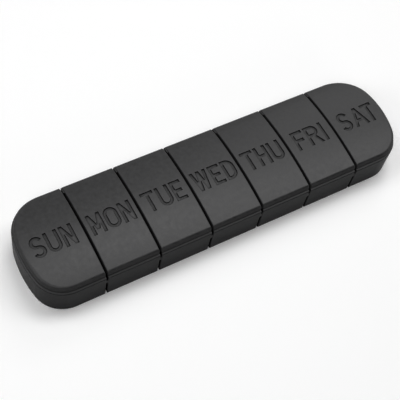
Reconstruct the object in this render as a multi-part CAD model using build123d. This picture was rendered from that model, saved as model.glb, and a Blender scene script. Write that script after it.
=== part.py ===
from build123d import *

import math
import os

# Weekly pill box: a tray of seven cups, seven vaulted lids, and a steel pin in each lid's hinge.
# Millimetres. X runs along the row of days, from Sunday to Saturday. The lids open at the front, -Y,
# and are hinged at the back, +Y. Z is up from the table, and the origin is under the middle of the box.

# The row of days
days = ("sunday", "monday", "tuesday", "wednesday", "thursday", "friday", "saturday")
day_pitch = 25.0
lid_gap = 1.1
end_margin = 3.8

# Outline of the tray, seen from above
overall_width = 46.6
end_bow_radius = 57.0
front_corner_radius = 14.0
back_corner_radius = 16.7

# Heights, stacked from the table up
rim_height = 14.3
seam = 0.35
lip_thickness = 0.75
vault_rise = 4.6

# Lid, outside
ledge_depth = 0.8
crest_y = -2.0
front_drop = 1.95
roll_width = 4.65
roll_slope = 20.5
top_edge_radius = 1.5
gap_edge_radius = 0.35
lip_edge_radius = 0.15
lip_slope_width = 0.62
lip_slope_drop = 0.2

# Lid, inside
lid_thickness = 1.8
plug_depth = 1.3
plug_thickness = 0.8
plug_clearance = 0.2
plug_setback = 7.0

# Tray, walls and cups
tray_wall = 1.4
tray_floor = 1.5
cup_side_wall = 1.1
cup_back_wall = 1.2
cup_corner_radius = 3.0
cup_floor_radius = 2.2
foot_radius = 0.3

# Slots between the cups
slot_width = 0.9
slot_cover = 0.7
slot_lip_radius = 0.35
notch_depth = 1.7
bridge_setback = 0.15
bridge_thickness = 2.2
front_bridge_height = 2.3
deck_thickness = 1.2

# Hinge
lid_opening = 105.0
axis_drop = 1.65
pin_radius = 0.75
press_fit = 0.02
running_fit = 0.06
knuckle_radius = 1.55
lid_knuckle_width = 2.0
tray_knuckle_width = 4.6
knuckle_gap = 0.2
knuckle_margin = 0.7
knuckle_foot_back = 0.6
pin_recess = 0.2
skirt_drop = 1.0
swing_clearance = 0.35
shelf_thickness = 1.4

# Shoulder that half closes the gap beside a hinge
shoulder_width = 0.55
shoulder_length = 3.65
shoulder_drop = 0.35

# Engraved words; the widths of the letters are shares of their height
cap_height = 10.1
stroke = 1.6
letter_space = 0.9
engraving_depth = 0.55
word_y = -0.55
end_word_shift = 1.5
letter_width = {
    "A": 0.76, "D": 0.57, "E": 0.53, "F": 0.59, "H": 0.59, "M": 0.63, "N": 0.56,
    "O": 0.63, "R": 0.70, "T": 0.60, "U": 0.60, "W": 0.79,
}
tucked_pairs = {"AT": 0.15}

# Places worked out from the sizes above
last_day = len(days) - 1
half_length = len(days) * day_pitch / 2 + end_margin
half_width = overall_width / 2
cover_front = -half_width + ledge_depth
cover_back = half_width
lip_bottom = rim_height + seam
lip_top = lip_bottom + lip_thickness
crown_height = lip_top + vault_rise
above_all = crown_height + day_pitch
axis_height = rim_height - axis_drop
axis_y = cover_back - knuckle_radius
skirt_bottom = axis_height - skirt_drop
step_y = axis_y - knuckle_radius - swing_clearance / 3
cup_back_outer = axis_y - knuckle_radius - swing_clearance
cup_back = cup_back_outer - cup_back_wall
cup_front = -half_width + tray_wall
hinge_width = tray_knuckle_width + 2 * (lid_knuckle_width + knuckle_gap)
everywhere_x = (-half_length - 1, half_length + 1)
everywhere_y = (-half_width - 1, half_width + 1)


def day_x(index):
    return (index - last_day / 2) * day_pitch


def lid_span(index):
    """Left and right side of a lid; the two end lids run past the ends of the box."""
    left = day_x(index) - day_pitch / 2 + lid_gap / 2
    right = day_x(index) + day_pitch / 2 - lid_gap / 2
    if index == 0:
        left = -half_length - day_pitch
    if index == last_day:
        right = half_length + day_pitch
    return left, right


def cup_span(index):
    """Left and right inner wall of a cup; the two end cups run past the ends of the box."""
    reach = day_pitch / 2 - slot_width / 2 - cup_side_wall
    left = day_x(index) - reach
    right = day_x(index) + reach
    if index == 0:
        left = -half_length - day_pitch
    if index == last_day:
        right = half_length + day_pitch
    return left, right


def block(x_pair, y_pair, z_pair):
    size = [pair[1] - pair[0] for pair in (x_pair, y_pair, z_pair)]
    middle = [(pair[1] + pair[0]) / 2 for pair in (x_pair, y_pair, z_pair)]
    return Pos(*middle) * Box(*size)


def plan_area(x_pair, y_pair):
    middle = Pos(sum(x_pair) / 2, sum(y_pair) / 2)
    return middle * Rectangle(x_pair[1] - x_pair[0], y_pair[1] - y_pair[0])


def is_on(value, place):
    return abs(value - place) < 0.001


# Outline: straight sides, a gently bowed end and a round corner between them, all tangent

bow_x = half_length - end_bow_radius


def corner_hub(bow, side, corner):
    """Centre of the corner arc between a bow about (bow_x, 0) and a straight side at that distance."""
    y = side - corner
    return bow_x + math.sqrt((bow - corner) ** 2 - y ** 2), y


def outline(inset=0.0, back_inset=None):
    """The box seen from above, drawn in by inset, and at the back by its own inset where one is given."""
    if back_inset is None:
        back_inset = inset
    bow = end_bow_radius - inset
    front_corner = front_corner_radius - inset
    back_corner = back_corner_radius - back_inset
    front_x, front_y = corner_hub(bow, half_width - inset, front_corner)
    back_x, back_y = corner_hub(bow, half_width - back_inset, back_corner)
    front_turn = math.degrees(math.atan2(front_y, front_x - bow_x))
    back_turn = math.degrees(math.atan2(back_y, back_x - bow_x))
    right = [
        CenterArc((front_x, -front_y), front_corner, -90, 90 - front_turn),
        CenterArc((bow_x, 0), bow, -front_turn, front_turn + back_turn),
        CenterArc((back_x, back_y), back_corner, back_turn, 90 - back_turn),
    ]
    left = [mirror(edge, about=Plane.YZ) for edge in right]
    front = Line((-front_x, -half_width + inset), (front_x, -half_width + inset))
    back = Line((-back_x, half_width - back_inset), (back_x, half_width - back_inset))
    return make_face(Curve() + right + left + [front, back])


# Vault: a long crown arc from the front edge, and a tighter roll down to the back

def arc_offset(radius, turn):
    return Vector(0, radius * math.sin(turn), radius * math.cos(turn))


def vault_arcs(depth):
    """The crown arc and the roll arc of the surface that lies depth under the top."""
    reach = crest_y - cover_front
    crown_radius = (reach ** 2 + front_drop ** 2) / (2 * front_drop)
    join_turn = math.asin((cover_back - roll_width - crest_y) / crown_radius)
    roll_radius = roll_width / (math.sin(math.radians(roll_slope)) - math.sin(join_turn))
    centre = Vector(0, crest_y, crown_height - crown_radius)
    hub = centre + arc_offset(crown_radius - roll_radius, join_turn)
    crown = crown_radius - depth
    roll = roll_radius - depth
    front_turn = math.asin((cover_front + depth - crest_y) / crown)
    back_turn = math.asin((cover_back - depth - hub.Y) / roll)
    join = centre + arc_offset(crown, join_turn)
    crown_middle = centre + arc_offset(crown, (front_turn + join_turn) / 2)
    roll_middle = hub + arc_offset(roll, (join_turn + back_turn) / 2)
    crown_arc = ThreePointArc(centre + arc_offset(crown, front_turn), crown_middle, join)
    roll_arc = ThreePointArc(join, roll_middle, hub + arc_offset(roll, back_turn))
    return crown_arc, roll_arc


def under_vault(depth, lower_points, x_pair=everywhere_x):
    """A bar along the row: the vaulted surface on top, closed through the lower points."""
    crown_arc, roll_arc = vault_arcs(depth)
    points = [Vector(0, y, z) for y, z in lower_points]
    section = make_face(Curve() + [crown_arc, roll_arc, Polyline(roll_arc @ 1, *points, crown_arc @ 0)])
    return Pos(x_pair[0], 0, 0) * extrude(section, x_pair[1] - x_pair[0], dir=(1, 0, 0))


def down_to_table(depth):
    """Everything down to the table that lies more than depth inside the vault."""
    return under_vault(depth, [(cover_back - depth, 0), (cover_front + depth, 0)])


def down_to_skirt(depth):
    """A lid's side profile: level at the front, and behind the cups down to the hinge skirt."""
    back_y = cover_back - depth
    skirt = [(back_y, skirt_bottom), (axis_y, skirt_bottom), (step_y, axis_height), (step_y, lip_bottom)]
    return under_vault(depth, skirt + [(cover_front + depth, lip_bottom)])


# The shelf behind the cups lies just under the lowest place that an opened lid's back wall swings to.
back_wall_rise = (vault_arcs(0)[1] @ 1).Z - axis_height
opened_turn = math.radians(lid_opening)
opened_drop = knuckle_radius * math.sin(opened_turn) - back_wall_rise * math.cos(opened_turn)
swing_depth = max(opened_drop, math.hypot(knuckle_radius, skirt_drop))
shelf_height = axis_height - swing_depth - swing_clearance
back_slot_height = shelf_height - slot_cover


# Letters: plain upright capitals of one stroke width

def bar(x, y, width, height):
    return Pos(x + width / 2, y + height / 2) * Rectangle(width, height)


def upright(x):
    return bar(x, 0, stroke, cap_height)


def top_arm(width):
    return bar(0, cap_height - stroke, width, stroke)


def middle_arm(width):
    return bar(0, (cap_height - stroke) / 2, width, stroke)


def slant(low_x, low_y, high_x, high_y=cap_height):
    """A slanted stroke with level ends; both x values are left ends."""
    points = [(low_x, low_y), (low_x + stroke, low_y), (high_x + stroke, high_y), (high_x, high_y)]
    return make_face(Polyline(*points, close=True))


def bend(x, y, outer_radius, start, turn):
    """A stroke bent round a centre, from the start angle through the turn."""
    outer = CenterArc((x, y), outer_radius, start, turn)
    inner = CenterArc((x, y), outer_radius - stroke, start, turn)
    return make_face(Curve() + [outer, inner, Line(outer @ 0, inner @ 0), Line(outer @ 1, inner @ 1)])


def letter_a(width):
    middle = (width - stroke) / 2
    bar_y = 0.24 * cap_height
    side = middle * bar_y / cap_height + stroke / 2
    legs = slant(0, 0, middle) + slant(width - stroke, 0, middle)
    return legs + bar(side, bar_y, width - 2 * side, stroke)


def letter_d(width):
    bowl = 0.62 * width
    stem = bar(width - stroke, bowl, stroke, cap_height - 2 * bowl)
    bends = bend(width - bowl, cap_height - bowl, bowl, 0, 90) + bend(width - bowl, bowl, bowl, 270, 90)
    return upright(0) + top_arm(width - bowl) + bar(0, 0, width - bowl, stroke) + stem + bends


def letter_e(width):
    return upright(0) + top_arm(width) + middle_arm(width - stroke / 2) + bar(0, 0, width, stroke)


def letter_f(width):
    return upright(0) + top_arm(width) + middle_arm(width - stroke / 2)


def letter_h(width):
    return upright(0) + upright(width - stroke) + middle_arm(width)


def letter_i(width):
    return upright(width - stroke)


def letter_m(width):
    middle = (width - stroke) / 2
    dip = 0.22 * cap_height
    return upright(0) + upright(width - stroke) + slant(middle, dip, 0) + slant(middle, dip, width - stroke)


def letter_n(width):
    return upright(0) + upright(width - stroke) + slant(width - stroke, 0, 0)


def letter_o(width):
    bowl = width / 2
    stems = [bar(x, bowl, stroke, cap_height - width) for x in (0, width - stroke)]
    return bend(bowl, bowl, bowl, 180, 180) + bend(bowl, cap_height - bowl, bowl, 0, 180) + stems


def letter_r(width):
    bowl = 0.29 * cap_height
    hub_x = width - bowl - stroke / 3
    arms = [bar(0, y, hub_x, stroke) for y in (cap_height - 2 * bowl, cap_height - stroke)]
    leg = slant(width - stroke, 0, hub_x - stroke / 2, cap_height - 2 * bowl + stroke / 2)
    return upright(0) + arms + bend(hub_x, cap_height - bowl, bowl, 270, 180) + leg


def letter_s(width):
    bowl = width / 2
    opening = 20
    upper = bend(bowl, cap_height - bowl, bowl, opening, 270 - opening)
    return upper + bend(bowl, bowl, bowl, 180 + opening, 270 - opening)


def letter_t(width):
    return upright((width - stroke) / 2) + top_arm(width)


def letter_u(width):
    bowl = width / 2
    stems = [bar(x, bowl, stroke, cap_height - bowl) for x in (0, width - stroke)]
    return bend(bowl, bowl, bowl, 180, 180) + stems


def letter_w(width):
    foot = (width - stroke) / 4
    middle = (width - stroke) / 2
    left = slant(foot, 0, 0) + slant(foot, 0, middle)
    return left + slant(width - stroke - foot, 0, middle) + slant(width - stroke - foot, 0, width - stroke)


draw_letter = {
    "A": letter_a, "D": letter_d, "E": letter_e, "F": letter_f, "H": letter_h, "I": letter_i,
    "M": letter_m, "N": letter_n, "O": letter_o, "R": letter_r, "S": letter_s, "T": letter_t,
    "U": letter_u, "W": letter_w,
}


def width_of(letter):
    """The S is as wide as its two bowls need to share the middle stroke, the I is one stroke."""
    if letter == "S":
        return (cap_height + stroke) / 2
    if letter == "I":
        return stroke
    return letter_width[letter] * cap_height


def word_face(word):
    """The word's letters side by side, centred across."""
    places = []
    x = 0.0
    for letter, following in zip(word, word[1:] + " "):
        places.append(x)
        x += width_of(letter) + letter_space - tucked_pairs.get(letter + following, 0) * cap_height
    length = x - letter_space
    drawn = Sketch()
    for letter, place in zip(word, places):
        drawn += Pos(place - length / 2, word_y - cap_height / 2) * draw_letter[letter](width_of(letter))
    return drawn


def engraving(index):
    """The day's word, cut to an even depth under the vault."""
    shift = {0: -end_word_shift, last_day: end_word_shift}.get(index, 0)
    word = Pos(day_x(index) + shift, 0, lip_top) * word_face(days[index][:3].upper())
    return extrude(word, above_all) - down_to_table(engraving_depth)


# Cup: a rounded rectangle, and at the two ends of the row a piece of the box's outline

def cup_plan(index, inset=0.0):
    """A cup's inner outline seen from above, drawn in by inset all round."""
    left, right = cup_span(index)
    area = plan_area((left + inset, right - inset), (cup_front + inset, cup_back - inset))
    if 0 < index < last_day:
        return fillet(area.vertices(), cup_corner_radius - inset)
    inner_side = right - inset if index == 0 else left + inset
    face = outline(tray_wall + inset) & area
    corners = [v for v in face.vertices() if is_on(v.X, inner_side) or is_on(v.Y, cup_back - inset)]
    return fillet(corners, cup_corner_radius - inset)


# Hinge

def hinge_middle(index):
    """Middle of a lid's hinge. On the end lids it keeps to the straight part of the back."""
    left, right = lid_span(index)
    from_gap = shoulder_width + knuckle_margin + hinge_width / 2
    if index == 0:
        return right - from_gap
    if index == last_day:
        return left + from_gap
    return day_x(index)


def hinge_cylinder(x_pair, radius):
    middle = Pos(sum(x_pair) / 2, axis_y, axis_height)
    return middle * Rot(0, 90, 0) * Cylinder(radius, x_pair[1] - x_pair[0])


def tray_knuckle_span(index):
    middle = hinge_middle(index)
    return middle - tray_knuckle_width / 2, middle + tray_knuckle_width / 2


def lid_knuckle_spans(index):
    inner_left, inner_right = tray_knuckle_span(index)
    left = (inner_left - knuckle_gap - lid_knuckle_width, inner_left - knuckle_gap)
    right = (inner_right + knuckle_gap, inner_right + knuckle_gap + lid_knuckle_width)
    return left, right


def hinge_span(index):
    return hinge_middle(index) - hinge_width / 2, hinge_middle(index) + hinge_width / 2


# Lids

def cover():
    """Outer shape of all lids in one, before the gaps are cut, with its top edge rounded."""
    body = down_to_skirt(0) & extrude(outline(ledge_depth, 0), above_all)
    return fillet([edge for edge in body.edges() if is_top_edge(edge)], top_edge_radius)


def at_front_or_back(y):
    return is_on(y, cover_front) or is_on(y, cover_back)


def is_top_edge(edge):
    middle = edge @ 0.5
    at_end = abs(middle.X) > corner_hub(end_bow_radius, half_width, back_corner_radius)[0]
    standing = abs((edge % 0.5).Z) > 0.9
    on_top = min((edge @ 0).Z, (edge @ 1).Z) > lip_top
    return on_top and not standing and (at_end or at_front_or_back(middle.Y))


def lies_in_side(edge, index):
    """Whether the edge lies wholly in one of the lid's two flat sides."""
    return any(all(is_on((edge @ share).X, side) for share in (0, 0.5, 1)) for side in lid_span(index))


def is_gap_edge(edge, index):
    """An edge of the lid's flat side that shows from outside."""
    on_top = min((edge @ 0).Z, (edge @ 1).Z) > lip_top
    return lies_in_side(edge, index) and (on_top or at_front_or_back((edge @ 0.5).Y))


def lip(index):
    """Flange round the lid's lower edge, flush with the tray, as far back as the hinge skirt.

    Its top slopes outwards, and its outer edges are rounded.
    """
    left, right = lid_span(index)
    plan = outline() & plan_area((left, right), (-half_width - 1, step_y))
    flange = extrude(Pos(0, 0, lip_bottom) * plan, lip_thickness)
    top = flange.faces().sort_by(Axis.Z)[-1]
    top_rim = [edge for edge in top.edges() if is_lip_rim(edge, index)]
    flange = chamfer(top_rim, lip_slope_width, lip_slope_drop, reference=top)
    outer_rim = [edge for edge in flange.edges() if is_lip_rim(edge, index) and is_low(edge)]
    return fillet(outer_rim, lip_edge_radius)


def is_low(edge):
    return (edge @ 0).Z < lip_top - lip_slope_drop / 2


def is_lip_rim(edge, index):
    level = is_on((edge @ 0).Z, (edge @ 1).Z)
    return level and not lies_in_side(edge, index) and (edge @ 0.5).Y < step_y - 0.01


def shoulder(index):
    left = lid_span(index)[0]
    front = cover_back - shoulder_length
    plan = plan_area((left - shoulder_width, left + shoulder_width), (front, cover_back))
    plan = fillet([v for v in plan.vertices() if v.X < left], gap_edge_radius)
    return extrude(plan, above_all) & down_to_skirt(shoulder_drop)


def hinge_pocket(index):
    """Hollow of the lid behind its plug, over the hinge."""
    left, right = lid_span(index)
    x_pair = (left + lid_thickness, right - lid_thickness)
    y_pair = (cup_back - plug_clearance, cover_back - lid_thickness)
    space = block(x_pair, y_pair, (0, above_all)) & down_to_table(lid_thickness)
    return space & extrude(outline(ledge_depth + lid_thickness, lid_thickness), above_all)


def lid_knuckle(x_pair, whole_cover):
    y_pair = (axis_y - knuckle_radius, axis_y + knuckle_radius)
    web = block(x_pair, y_pair, (axis_height, above_all)) & whole_cover
    return hinge_cylinder(x_pair, knuckle_radius) + web


def tray_knuckle_notch(index):
    """Room in the lid's skirt for the tray's knuckle."""
    inner_left, inner_right = tray_knuckle_span(index)
    x_pair = (inner_left - knuckle_gap, inner_right + knuckle_gap)
    y_pair = (axis_y - knuckle_radius - swing_clearance, half_width + 1)
    return block(x_pair, y_pair, (0, axis_height + knuckle_radius + swing_clearance))


def plug(index):
    """Rib that fits the cup's mouth at the front and both sides, and stops short of the back."""
    rib = cup_plan(index, plug_clearance) - cup_plan(index, plug_clearance + plug_thickness)
    rib &= plan_area(everywhere_x, (-half_width, cup_back - plug_setback))
    bottom = rim_height - plug_depth
    return Pos(0, 0, bottom) * extrude(rib, lip_top - bottom)


def lid(index, whole_cover):
    body = whole_cover & block(lid_span(index), everywhere_y, (0, above_all))
    body = fillet([edge for edge in body.edges() if is_gap_edge(edge, index)], gap_edge_radius)
    body += lip(index)
    if index > 0:
        body += shoulder(index)
    inside = cup_plan(index, plug_clearance + plug_thickness)
    body -= extrude(inside, above_all) & down_to_table(lid_thickness)
    body -= hinge_pocket(index)
    body += plug(index)
    for x_pair in lid_knuckle_spans(index):
        body += lid_knuckle(x_pair, whole_cover)
    body -= tray_knuckle_notch(index)
    body -= hinge_cylinder(hinge_span(index), pin_radius + running_fit)
    return body - engraving(index)


# Tray

def slot_mouth(x, side):
    """Groove where a slot meets the front or the back wall, with its two edges rounded over."""
    half = slot_width / 2
    radius = slot_lip_radius
    face_y = half_width
    left = CenterArc((x - half - radius, face_y - radius), radius, 0, 90)
    right = CenterArc((x + half + radius, face_y - radius), radius, 90, 90)
    outside = Polyline(left @ 1, left @ 1 + Vector(0, 1), right @ 0 + Vector(0, 1), right @ 0)
    groove = make_face(Curve() + [left, right, Line(left @ 0, right @ 1), outside])
    return groove if side > 0 else mirror(groove, about=Plane.XZ)


def slot(index):
    """Slot to the right of a cup, open at the table, and the notch in the rim over it.

    Between the two stay a bridge at the front, one at the back, and a thin deck from one to the other.
    """
    x = day_x(index) + day_pitch / 2
    x_pair = (x - slot_width / 2, x + slot_width / 2)
    notch_bottom = rim_height - notch_depth
    front_slot_height = notch_bottom - front_bridge_height
    between_bridges = (-half_width + bridge_setback + bridge_thickness, cup_back_outer - bridge_thickness)
    tool = block(x_pair, everywhere_y, (notch_bottom, above_all))
    tool += block(x_pair, between_bridges, (-1, notch_bottom - deck_thickness))
    tool += block(x_pair, (0, half_width + 1), (-1, back_slot_height))
    tool += block(x_pair, (-half_width - 1, 0), (-1, front_slot_height))
    for side, slot_height in ((-1, front_slot_height), (1, back_slot_height)):
        mouth = slot_mouth(x, side)
        face_y = sorted((side * (half_width - bridge_setback), side * (half_width + 1)))
        tool += extrude(mouth, slot_height)
        tool += extrude(mouth, above_all) & block(everywhere_x, face_y, (0, above_all))
    return tool


def cup(index):
    space = extrude(Pos(0, 0, tray_floor) * cup_plan(index), above_all)
    floor_edges = space.edges().group_by(Axis.Z)[0]
    return fillet(floor_edges, min(cup_floor_radius, 0.8 * cup_corner_radius))


def shelf_pocket(index):
    """Hollow under the shelf, open to the table."""
    space = block(cup_span(index), (cup_back_outer, half_width), (-1, shelf_height - shelf_thickness))
    return space & (Pos(0, 0, -1) * extrude(outline(tray_wall), above_all))


def tray_knuckle(index):
    x_pair = tray_knuckle_span(index)
    y_pair = (axis_y - knuckle_radius, axis_y + knuckle_foot_back)
    foot = block(x_pair, y_pair, (shelf_height - shelf_thickness / 2, axis_height))
    return hinge_cylinder(x_pair, knuckle_radius) + foot


def tray():
    body = extrude(outline(), rim_height)
    body = fillet(body.edges().group_by(Axis.Z)[0], foot_radius)
    body -= block(everywhere_x, (cup_back_outer, half_width + 1), (shelf_height, above_all))
    for index in range(len(days)):
        body -= cup(index)
        body -= shelf_pocket(index)
    for index in range(last_day):
        body -= slot(index)
    for index in range(len(days)):
        body += tray_knuckle(index)
        body -= hinge_cylinder(hinge_span(index), pin_radius + press_fit)
    return body


def pin(index):
    left, right = hinge_span(index)
    return hinge_cylinder((left + pin_recess, right - pin_recess), pin_radius)


os.makedirs("parts", exist_ok=True)
export_step(tray(), "parts/tray.step")
all_lids = cover()
for number, day in enumerate(days):
    export_step(lid(number, all_lids), f"parts/lid_{day}.step")
    export_step(pin(number), f"parts/hinge_pin_{day}.step")
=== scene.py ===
import math

import bpy
from mathutils import Matrix, Vector

# A weekly pill box: one tray with seven cups, seven vaulted lids with the day engraved on each, and a
# steel pin in every lid's hinge. The frame holds all their shapes; this file gives them their finish.

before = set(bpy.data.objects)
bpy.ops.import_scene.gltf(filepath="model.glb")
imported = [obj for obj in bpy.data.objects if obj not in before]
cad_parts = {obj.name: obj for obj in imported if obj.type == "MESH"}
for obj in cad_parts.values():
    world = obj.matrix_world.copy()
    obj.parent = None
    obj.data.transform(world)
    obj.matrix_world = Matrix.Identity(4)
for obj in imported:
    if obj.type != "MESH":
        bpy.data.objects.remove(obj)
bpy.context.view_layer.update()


# Camera: a portrait lens over the front left corner of the box, looking steeply down at the middle of
# the table, and turned on its own axis so that the row of lids climbs to the right. The picture keeps
# plain tones, with no film curve over them.

studio = bpy.context.scene.collection
lens = bpy.data.cameras.new("camera")
lens.sensor_width = 36.0
lens.lens = 85.4
lens.clip_start = 0.01
camera = bpy.data.objects.new("camera", lens)
studio.objects.link(camera)
bpy.context.scene.camera = camera
bpy.context.scene.view_settings.view_transform = "Standard"
camera_place = Vector((-0.14744, -0.16575, 0.37126))
camera_aim = Vector((-0.00408, 0.00004, 0.0))
camera_roll = 14.06
turn = (camera_aim - camera_place).to_track_quat("-Z", "Y").to_matrix().to_4x4()
roll = Matrix.Rotation(math.radians(camera_roll), 4, "Z")
camera.matrix_world = Matrix.Translation(camera_place) @ turn @ roll


# Table: a wide sheet of white paper that takes the soft shadow of the box, in a white surround. Both are
# brighter to the eye than the light they give, as in a product photo with a burnt-out backdrop.

def new_node(tree, kind, settings=(), **inputs):
    """A shader node with its settings, and the values or links of its inputs by name."""
    made = tree.nodes.new(kind)
    for name, value in dict(settings).items():
        setattr(made, name, value)
    for name, value in inputs.items():
        socket = made.inputs[name.replace("_", " ")]
        if isinstance(value, bpy.types.NodeSocket):
            tree.links.new(value, socket)
        else:
            socket.default_value = value
    return made


def seen_share(tree):
    """1 to the eye, be it straight, in a reflection or through glass, and 0 to the light given off."""
    path = tree.nodes.new("ShaderNodeLightPath")
    eye = new_node(tree, "ShaderNodeMath", {"operation": "MAXIMUM"})
    tree.links.new(path.outputs["Is Camera Ray"], eye.inputs[0])
    tree.links.new(path.outputs["Is Glossy Ray"], eye.inputs[1])
    every = new_node(tree, "ShaderNodeMath", {"operation": "MAXIMUM"})
    tree.links.new(eye.outputs[0], every.inputs[0])
    tree.links.new(path.outputs["Is Transmission Ray"], every.inputs[1])
    return every.outputs[0]


surround = bpy.data.worlds.new("surround")
surround.use_nodes = True
bpy.context.scene.world = surround
backdrop = surround.node_tree.nodes["Background"]
backdrop.inputs["Color"].default_value = (1, 1, 1, 1)
surround_light = 0.05
surround_seen = 1.0
strength = new_node(surround.node_tree, "ShaderNodeMapRange")
surround.node_tree.links.new(seen_share(surround.node_tree), strength.inputs["Value"])
strength.inputs["To Min"].default_value = surround_light
strength.inputs["To Max"].default_value = surround_seen
surround.node_tree.links.new(strength.outputs["Result"], backdrop.inputs["Strength"])

table_half = 3.0
table_mesh = bpy.data.meshes.new("table_paper")
table_mesh.from_pydata(
    [(x * table_half, y * table_half, 0.0) for x, y in ((-1, -1), (1, -1), (1, 1), (-1, 1))],
    [], [(0, 1, 2, 3)],
)
table = bpy.data.objects.new("table_paper", table_mesh)
studio.objects.link(table)
paper = bpy.data.materials.new("white_paper")
paper.use_nodes = True
sheet = paper.node_tree
sheet.nodes.clear()
paper_light = 0.9
paper_seen = 1.05
white = new_node(sheet, "ShaderNodeMapRange")
sheet.links.new(seen_share(sheet), white.inputs["Value"])
white.inputs["To Min"].default_value = paper_light
white.inputs["To Max"].default_value = paper_seen
paper_colour = new_node(sheet, "ShaderNodeCombineColor")
for channel in ("Red", "Green", "Blue"):
    sheet.links.new(white.outputs["Result"], paper_colour.inputs[channel])
matt = new_node(sheet, "ShaderNodeBsdfDiffuse", Color=paper_colour.outputs["Color"])
surface = sheet.nodes.new("ShaderNodeOutputMaterial")
sheet.links.new(matt.outputs["BSDF"], surface.inputs["Surface"])
table_mesh.materials.append(paper)


# Light: seven square soft boxes all around the table, the strongest of them high up, and a black card
# standing in front of it that keeps the white surround out of the box's front edge.

soft_box_away = 0.85
soft_box_side = 0.3


def soft_box(name, azimuth, elevation, power):
    """A soft box aimed at the pill box, from an azimuth counted in degrees from +X towards +Y."""
    light = bpy.data.lights.new(name, "AREA")
    light.shape = "RECTANGLE"
    light.size = soft_box_side
    light.size_y = soft_box_side
    light.energy = power
    lamp = bpy.data.objects.new(name, light)
    studio.objects.link(lamp)
    across = math.radians(azimuth)
    up = math.radians(elevation)
    flat = math.cos(up)
    direction = Vector((math.cos(across) * flat, math.sin(across) * flat, math.sin(up)))
    lamp.location = direction * soft_box_away
    lamp.rotation_euler = (-lamp.location).to_track_quat("-Z", "Y").to_euler()
    lamp.visible_camera = False


for lamp_name, lamp_azimuth, lamp_elevation, lamp_power in (
    ("soft_box_over", 52, 74, 2.0),
    ("soft_box_right", 0, 60, 1.64),
    ("soft_box_back_left", 135, 60, 1.4),
    ("soft_box_front_left", 225, 54, 1.15),
    ("soft_box_back_right", 45, 42, 0.65),
    ("soft_box_left", 178, 34, 1.1),
    ("soft_box_front", 270, 22, 0.45),
):
    soft_box(lamp_name, lamp_azimuth, lamp_elevation, lamp_power)

card_width = 2.6
card_height = 1.5
card_away = 0.9
card_corners = ((-1, 0), (1, 0), (1, 1), (-1, 1))
card_mesh = bpy.data.meshes.new("black_card")
card_mesh.from_pydata(
    [(side * card_width / 2, -card_away, up * card_height) for side, up in card_corners],
    [], [(0, 1, 2, 3)],
)
card = bpy.data.objects.new("black_card", card_mesh)
studio.objects.link(card)
card.visible_camera = False
felt = bpy.data.materials.new("black_felt")
felt.use_nodes = True
felt_shader = felt.node_tree.nodes["Principled BSDF"]
felt_shader.inputs["Base Color"].default_value = (0.01, 0.01, 0.01, 1)
felt_shader.inputs["Roughness"].default_value = 1.0
felt_shader.inputs["Specular IOR Level"].default_value = 0.0
card_mesh.materials.append(felt)


# Tray: one injection moulding in black plastic, its outside left satin by a fine spark-eroded mould.
# The slots between the cups are cored out from below.

def new_group(name, inputs, outputs):
    """An empty shader node group with its named sockets; inputs give each one's first value."""
    group = bpy.data.node_groups.new(name, "ShaderNodeTree")
    for socket, value in inputs.items():
        made = group.interface.new_socket(socket, in_out="INPUT", socket_type="NodeSocketFloat")
        made.default_value = value
    for socket in outputs:
        group.interface.new_socket(socket, in_out="OUTPUT", socket_type="NodeSocketFloat")
    return group, group.nodes.new("NodeGroupInput"), group.nodes.new("NodeGroupOutput")


def math_node(tree, operation, first, second=None):
    """The result of a Math node on one or two values or links."""
    made = new_node(tree, "ShaderNodeMath", {"operation": operation})
    for socket, value in zip(made.inputs, (first, second)):
        if isinstance(value, bpy.types.NodeSocket):
            tree.links.new(value, socket)
        elif value is not None:
            socket.default_value = value
    return made.outputs[0]


def spark_grain():
    """The pitted skin that a spark-eroded mould leaves: fine pits, and a cloudy unevenness over them."""
    group, given, result = new_group("spark_grain", {"Pits per Metre": 3500.0}, ("Height", "Clouds"))
    place = group.nodes.new("ShaderNodeTexCoord").outputs["Object"]
    pits = new_node(group, "ShaderNodeTexNoise", Vector=place, Detail=3.0, Roughness=0.6)
    group.links.new(given.outputs["Pits per Metre"], pits.inputs["Scale"])
    cells = new_node(group, "ShaderNodeTexVoronoi", Vector=place)
    group.links.new(given.outputs["Pits per Metre"], cells.inputs["Scale"])
    both = math_node(group, "MULTIPLY", pits.outputs["Fac"], cells.outputs["Distance"])
    clouds = new_node(group, "ShaderNodeTexNoise", Vector=place, Scale=520.0, Detail=4.0, Roughness=0.55)
    group.links.new(both, result.inputs["Height"])
    group.links.new(clouds.outputs["Fac"], result.inputs["Clouds"])
    return group


def rubbed_edge():
    """1 on outward edges, where hands and pockets rub the skin bright, fading to 0 on the faces."""
    group, given, result = new_group("rubbed_edge", {"Width": 0.0004}, ("Mask",))
    inward = {"inside": True, "only_local": True, "samples": 8}
    inside = new_node(group, "ShaderNodeAmbientOcclusion", inward)
    group.links.new(given.outputs["Width"], inside.inputs["Distance"])
    near = math_node(group, "SUBTRACT", 1.0, inside.outputs["AO"])
    falloff = 1.6
    group.links.new(math_node(group, "POWER", near, falloff), result.inputs["Mask"])
    return group


# Occlusion mask: the plastic's colour is darkened by it, which is painted shade in corners, grooves and
# gaps between parts.
def deep_corner():
    """0 where shapes within Reach hide up to the share Start of the sky, and 1 from the share Full on."""
    inputs = {"Reach": 0.0025, "Start": 0.28, "Full": 0.8}
    group, given, result = new_group("deep_corner", inputs, ("Mask",))
    outside = new_node(group, "ShaderNodeAmbientOcclusion", {"samples": 8})
    group.links.new(given.outputs["Reach"], outside.inputs["Distance"])
    hidden = math_node(group, "SUBTRACT", 1.0, outside.outputs["AO"])
    deep = new_node(group, "ShaderNodeMapRange", Value=hidden)
    group.links.new(given.outputs["Start"], deep.inputs["From Min"])
    group.links.new(given.outputs["Full"], deep.inputs["From Max"])
    group.links.new(deep.outputs["Result"], result.inputs["Mask"])
    return group


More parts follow.
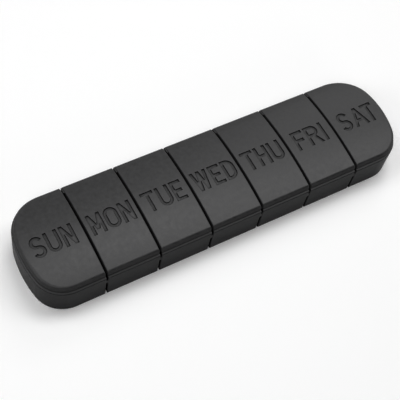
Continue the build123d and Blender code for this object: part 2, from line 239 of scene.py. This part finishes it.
def drawn_wall():
    """1 on walls that slid along the mould and 0 on faces that lay flat in it."""
    flat_from = 0.9
    wall_to = 0.2
    group, given, result = new_group("drawn_wall", {}, ("Mask",))
    facing = group.nodes.new("ShaderNodeTexCoord").outputs["Normal"]
    parts = new_node(group, "ShaderNodeSeparateXYZ", Vector=facing)
    level = math_node(group, "ABSOLUTE", parts.outputs["Z"])
    upright = new_node(group, "ShaderNodeMapRange", {"interpolation_type": "SMOOTHSTEP"}, Value=level)
    upright.inputs["From Min"].default_value = flat_from
    upright.inputs["From Max"].default_value = wall_to
    group.links.new(upright.outputs["Result"], result.inputs["Mask"])
    return group


grain_group = spark_grain()
rub_group = rubbed_edge()
corner_group = deep_corner()
wall_group = drawn_wall()


def ranged(tree, value, low, high, start=0.0, end=1.0):
    """The value's part from start to end, spread from low to high."""
    made = new_node(tree, "ShaderNodeMapRange", Value=value)
    made.inputs["From Min"].default_value = start
    made.inputs["From Max"].default_value = end
    made.inputs["To Min"].default_value = low
    made.inputs["To Max"].default_value = high
    return made.outputs["Result"]


# The noises stay between these two values over nearly all of a surface.
noise_low = 0.3
noise_high = 0.7

# How far the colour and the roughness swing with the clouds, how much brighter and smoother a rubbed
# edge gets, how much darker (painted shade) and rougher a deep corner gets, and the plastic's slight
# blue.
cloud_contrast = 0.3
satin_contrast = 0.05
rub_gain = 3.4
rub_polish = 0.06
painted_shade_depth = 0.05
corner_roughness = 0.55
blue_gain = 1.04


def black_plastic(name, shade, roughness, gloss, wall_roughness, cut_above=None):
    """Black satin plastic: cloudy and pitted, brighter on rubbed edges, rougher in corners and painted
    darker there as shade.

    Its walls are rougher by wall_roughness. Narrow grooves over the height cut_above count as corners.
    """
    material = bpy.data.materials.new(name)
    material.use_nodes = True
    tree = material.node_tree
    shader = tree.nodes["Principled BSDF"]
    shader.inputs["Specular IOR Level"].default_value = gloss
    grain = new_node(tree, "ShaderNodeGroup", {"node_tree": grain_group})
    rub = new_node(tree, "ShaderNodeGroup", {"node_tree": rub_group})
    corner = new_node(tree, "ShaderNodeGroup", {"node_tree": corner_group}).outputs["Mask"]
    if cut_above is not None:
        place = tree.nodes.new("ShaderNodeTexCoord").outputs["Object"]
        height = new_node(tree, "ShaderNodeSeparateXYZ", Vector=place).outputs["Z"]
        # Narrow cuts in the lid's top, such as the letters, get the same painted shade and roughness as
        # corners.
        groove = new_node(
            tree, "ShaderNodeGroup", {"node_tree": corner_group}, Reach=0.0012, Start=0.05, Full=0.36,
        )
        above = math_node(tree, "GREATER_THAN", height, cut_above)
        cuts = math_node(tree, "MULTIPLY", groove.outputs["Mask"], above)
        corner = math_node(tree, "MAXIMUM", corner, cuts)
    wall = new_node(tree, "ShaderNodeGroup", {"node_tree": wall_group}).outputs["Mask"]
    clouds = ranged(
        tree, grain.outputs["Clouds"], 1.0 - cloud_contrast, 1.0 + cloud_contrast, noise_low, noise_high,
    )
    rubbed = ranged(tree, rub.outputs["Mask"], 1.0, rub_gain)
    # Painted shade: the colour darkens where nearby shapes hide the sky.
    painted_corner_shade = ranged(tree, corner, 1.0, painted_shade_depth)
    lightness = math_node(tree, "MULTIPLY", math_node(tree, "MULTIPLY", clouds, rubbed), painted_corner_shade)
    shaded = math_node(tree, "MULTIPLY", lightness, shade)
    colour = new_node(tree, "ShaderNodeCombineColor", Red=shaded, Green=shaded)
    tree.links.new(math_node(tree, "MULTIPLY", shaded, blue_gain), colour.inputs["Blue"])
    tree.links.new(colour.outputs["Color"], shader.inputs["Base Color"])
    satin = ranged(
        tree, grain.outputs["Clouds"], roughness - satin_contrast, roughness + satin_contrast,
        noise_low, noise_high,
    )
    smoothed = math_node(tree, "MULTIPLY", rub.outputs["Mask"], rub_polish)
    polish = math_node(tree, "SUBTRACT", satin, smoothed)
    rough_corner = ranged(tree, corner, 0.0, corner_roughness)
    rough_wall = ranged(tree, wall, 0.0, wall_roughness)
    coarse = math_node(tree, "MAXIMUM", rough_corner, rough_wall)
    tree.links.new(math_node(tree, "ADD", polish, coarse), shader.inputs["Roughness"])
    waves = new_node(
        tree, "ShaderNodeBump", Strength=0.3, Distance=0.0001, Height=grain.outputs["Clouds"],
    )
    bump = new_node(
        tree, "ShaderNodeBump", Strength=0.35, Distance=0.00004, Height=grain.outputs["Height"],
        Normal=waves.outputs["Normal"],
    )
    tree.links.new(bump.outputs["Normal"], shader.inputs["Normal"])
    return material


def dress(node, material):
    """Gives the frame's piece this material and no other."""
    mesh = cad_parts[node].data
    mesh.materials.clear()
    mesh.materials.append(material)


# Its colour is darkened in deep corners and where the lids stand close over it: painted shade.
tray_plastic = black_plastic("tray_plastic", shade=0.012, roughness=0.48, gloss=0.06, wall_roughness=0.0)
dress("tray", tray_plastic)


# Lids: seven thin vaulted mouldings in the same black plastic, each with its day cut into the top. Their
# tops are glossier than the tray, and their steep sides and the cut letters are rougher. The cut letters
# and deep corners are also painted darker, as shade.

days = ("sunday", "monday", "tuesday", "wednesday", "thursday", "friday", "saturday")
lid_plastic = black_plastic(
    "lid_plastic", shade=0.014, roughness=0.39, gloss=0.26, wall_roughness=0.45, cut_above=0.0164,
)
for day in days:
    dress("lid_" + day, lid_plastic)


# Hinge pins: cut lengths of drawn steel wire, so their skin has fine lines along the wire. Each is
# pressed into the tray's knuckle, and its lid turns on the two ends that stand out of it.

def drawn_steel():
    """Bright steel with fine lines along X, the way the wire was drawn."""
    along_wire = 0.03
    steel_dull = 0.50
    steel_bright = 0.66
    steel_smooth = 0.24
    steel_rough = 0.38
    material = bpy.data.materials.new("pin_steel")
    material.use_nodes = True
    tree = material.node_tree
    shader = tree.nodes["Principled BSDF"]
    shader.inputs["Metallic"].default_value = 1.0
    place = tree.nodes.new("ShaderNodeTexCoord").outputs["Object"]
    along = new_node(tree, "ShaderNodeMapping", Vector=place, Scale=(along_wire, 1.0, 1.0))
    lines = new_node(tree, "ShaderNodeTexNoise", Vector=along.outputs["Vector"], Scale=9000.0, Detail=2.0)
    bright = ranged(tree, lines.outputs["Fac"], steel_dull, steel_bright, noise_low, noise_high)
    colour = new_node(tree, "ShaderNodeCombineColor", Red=bright, Green=bright, Blue=bright)
    tree.links.new(colour.outputs["Color"], shader.inputs["Base Color"])
    skin = ranged(tree, lines.outputs["Fac"], steel_smooth, steel_rough)
    tree.links.new(skin, shader.inputs["Roughness"])
    bump = new_node(tree, "ShaderNodeBump", Strength=0.2, Distance=0.00001, Height=lines.outputs["Fac"])
    tree.links.new(bump.outputs["Normal"], shader.inputs["Normal"])
    return material


pin_steel = drawn_steel()
for day in days:
    dress("hinge_pin_" + day, pin_steel)
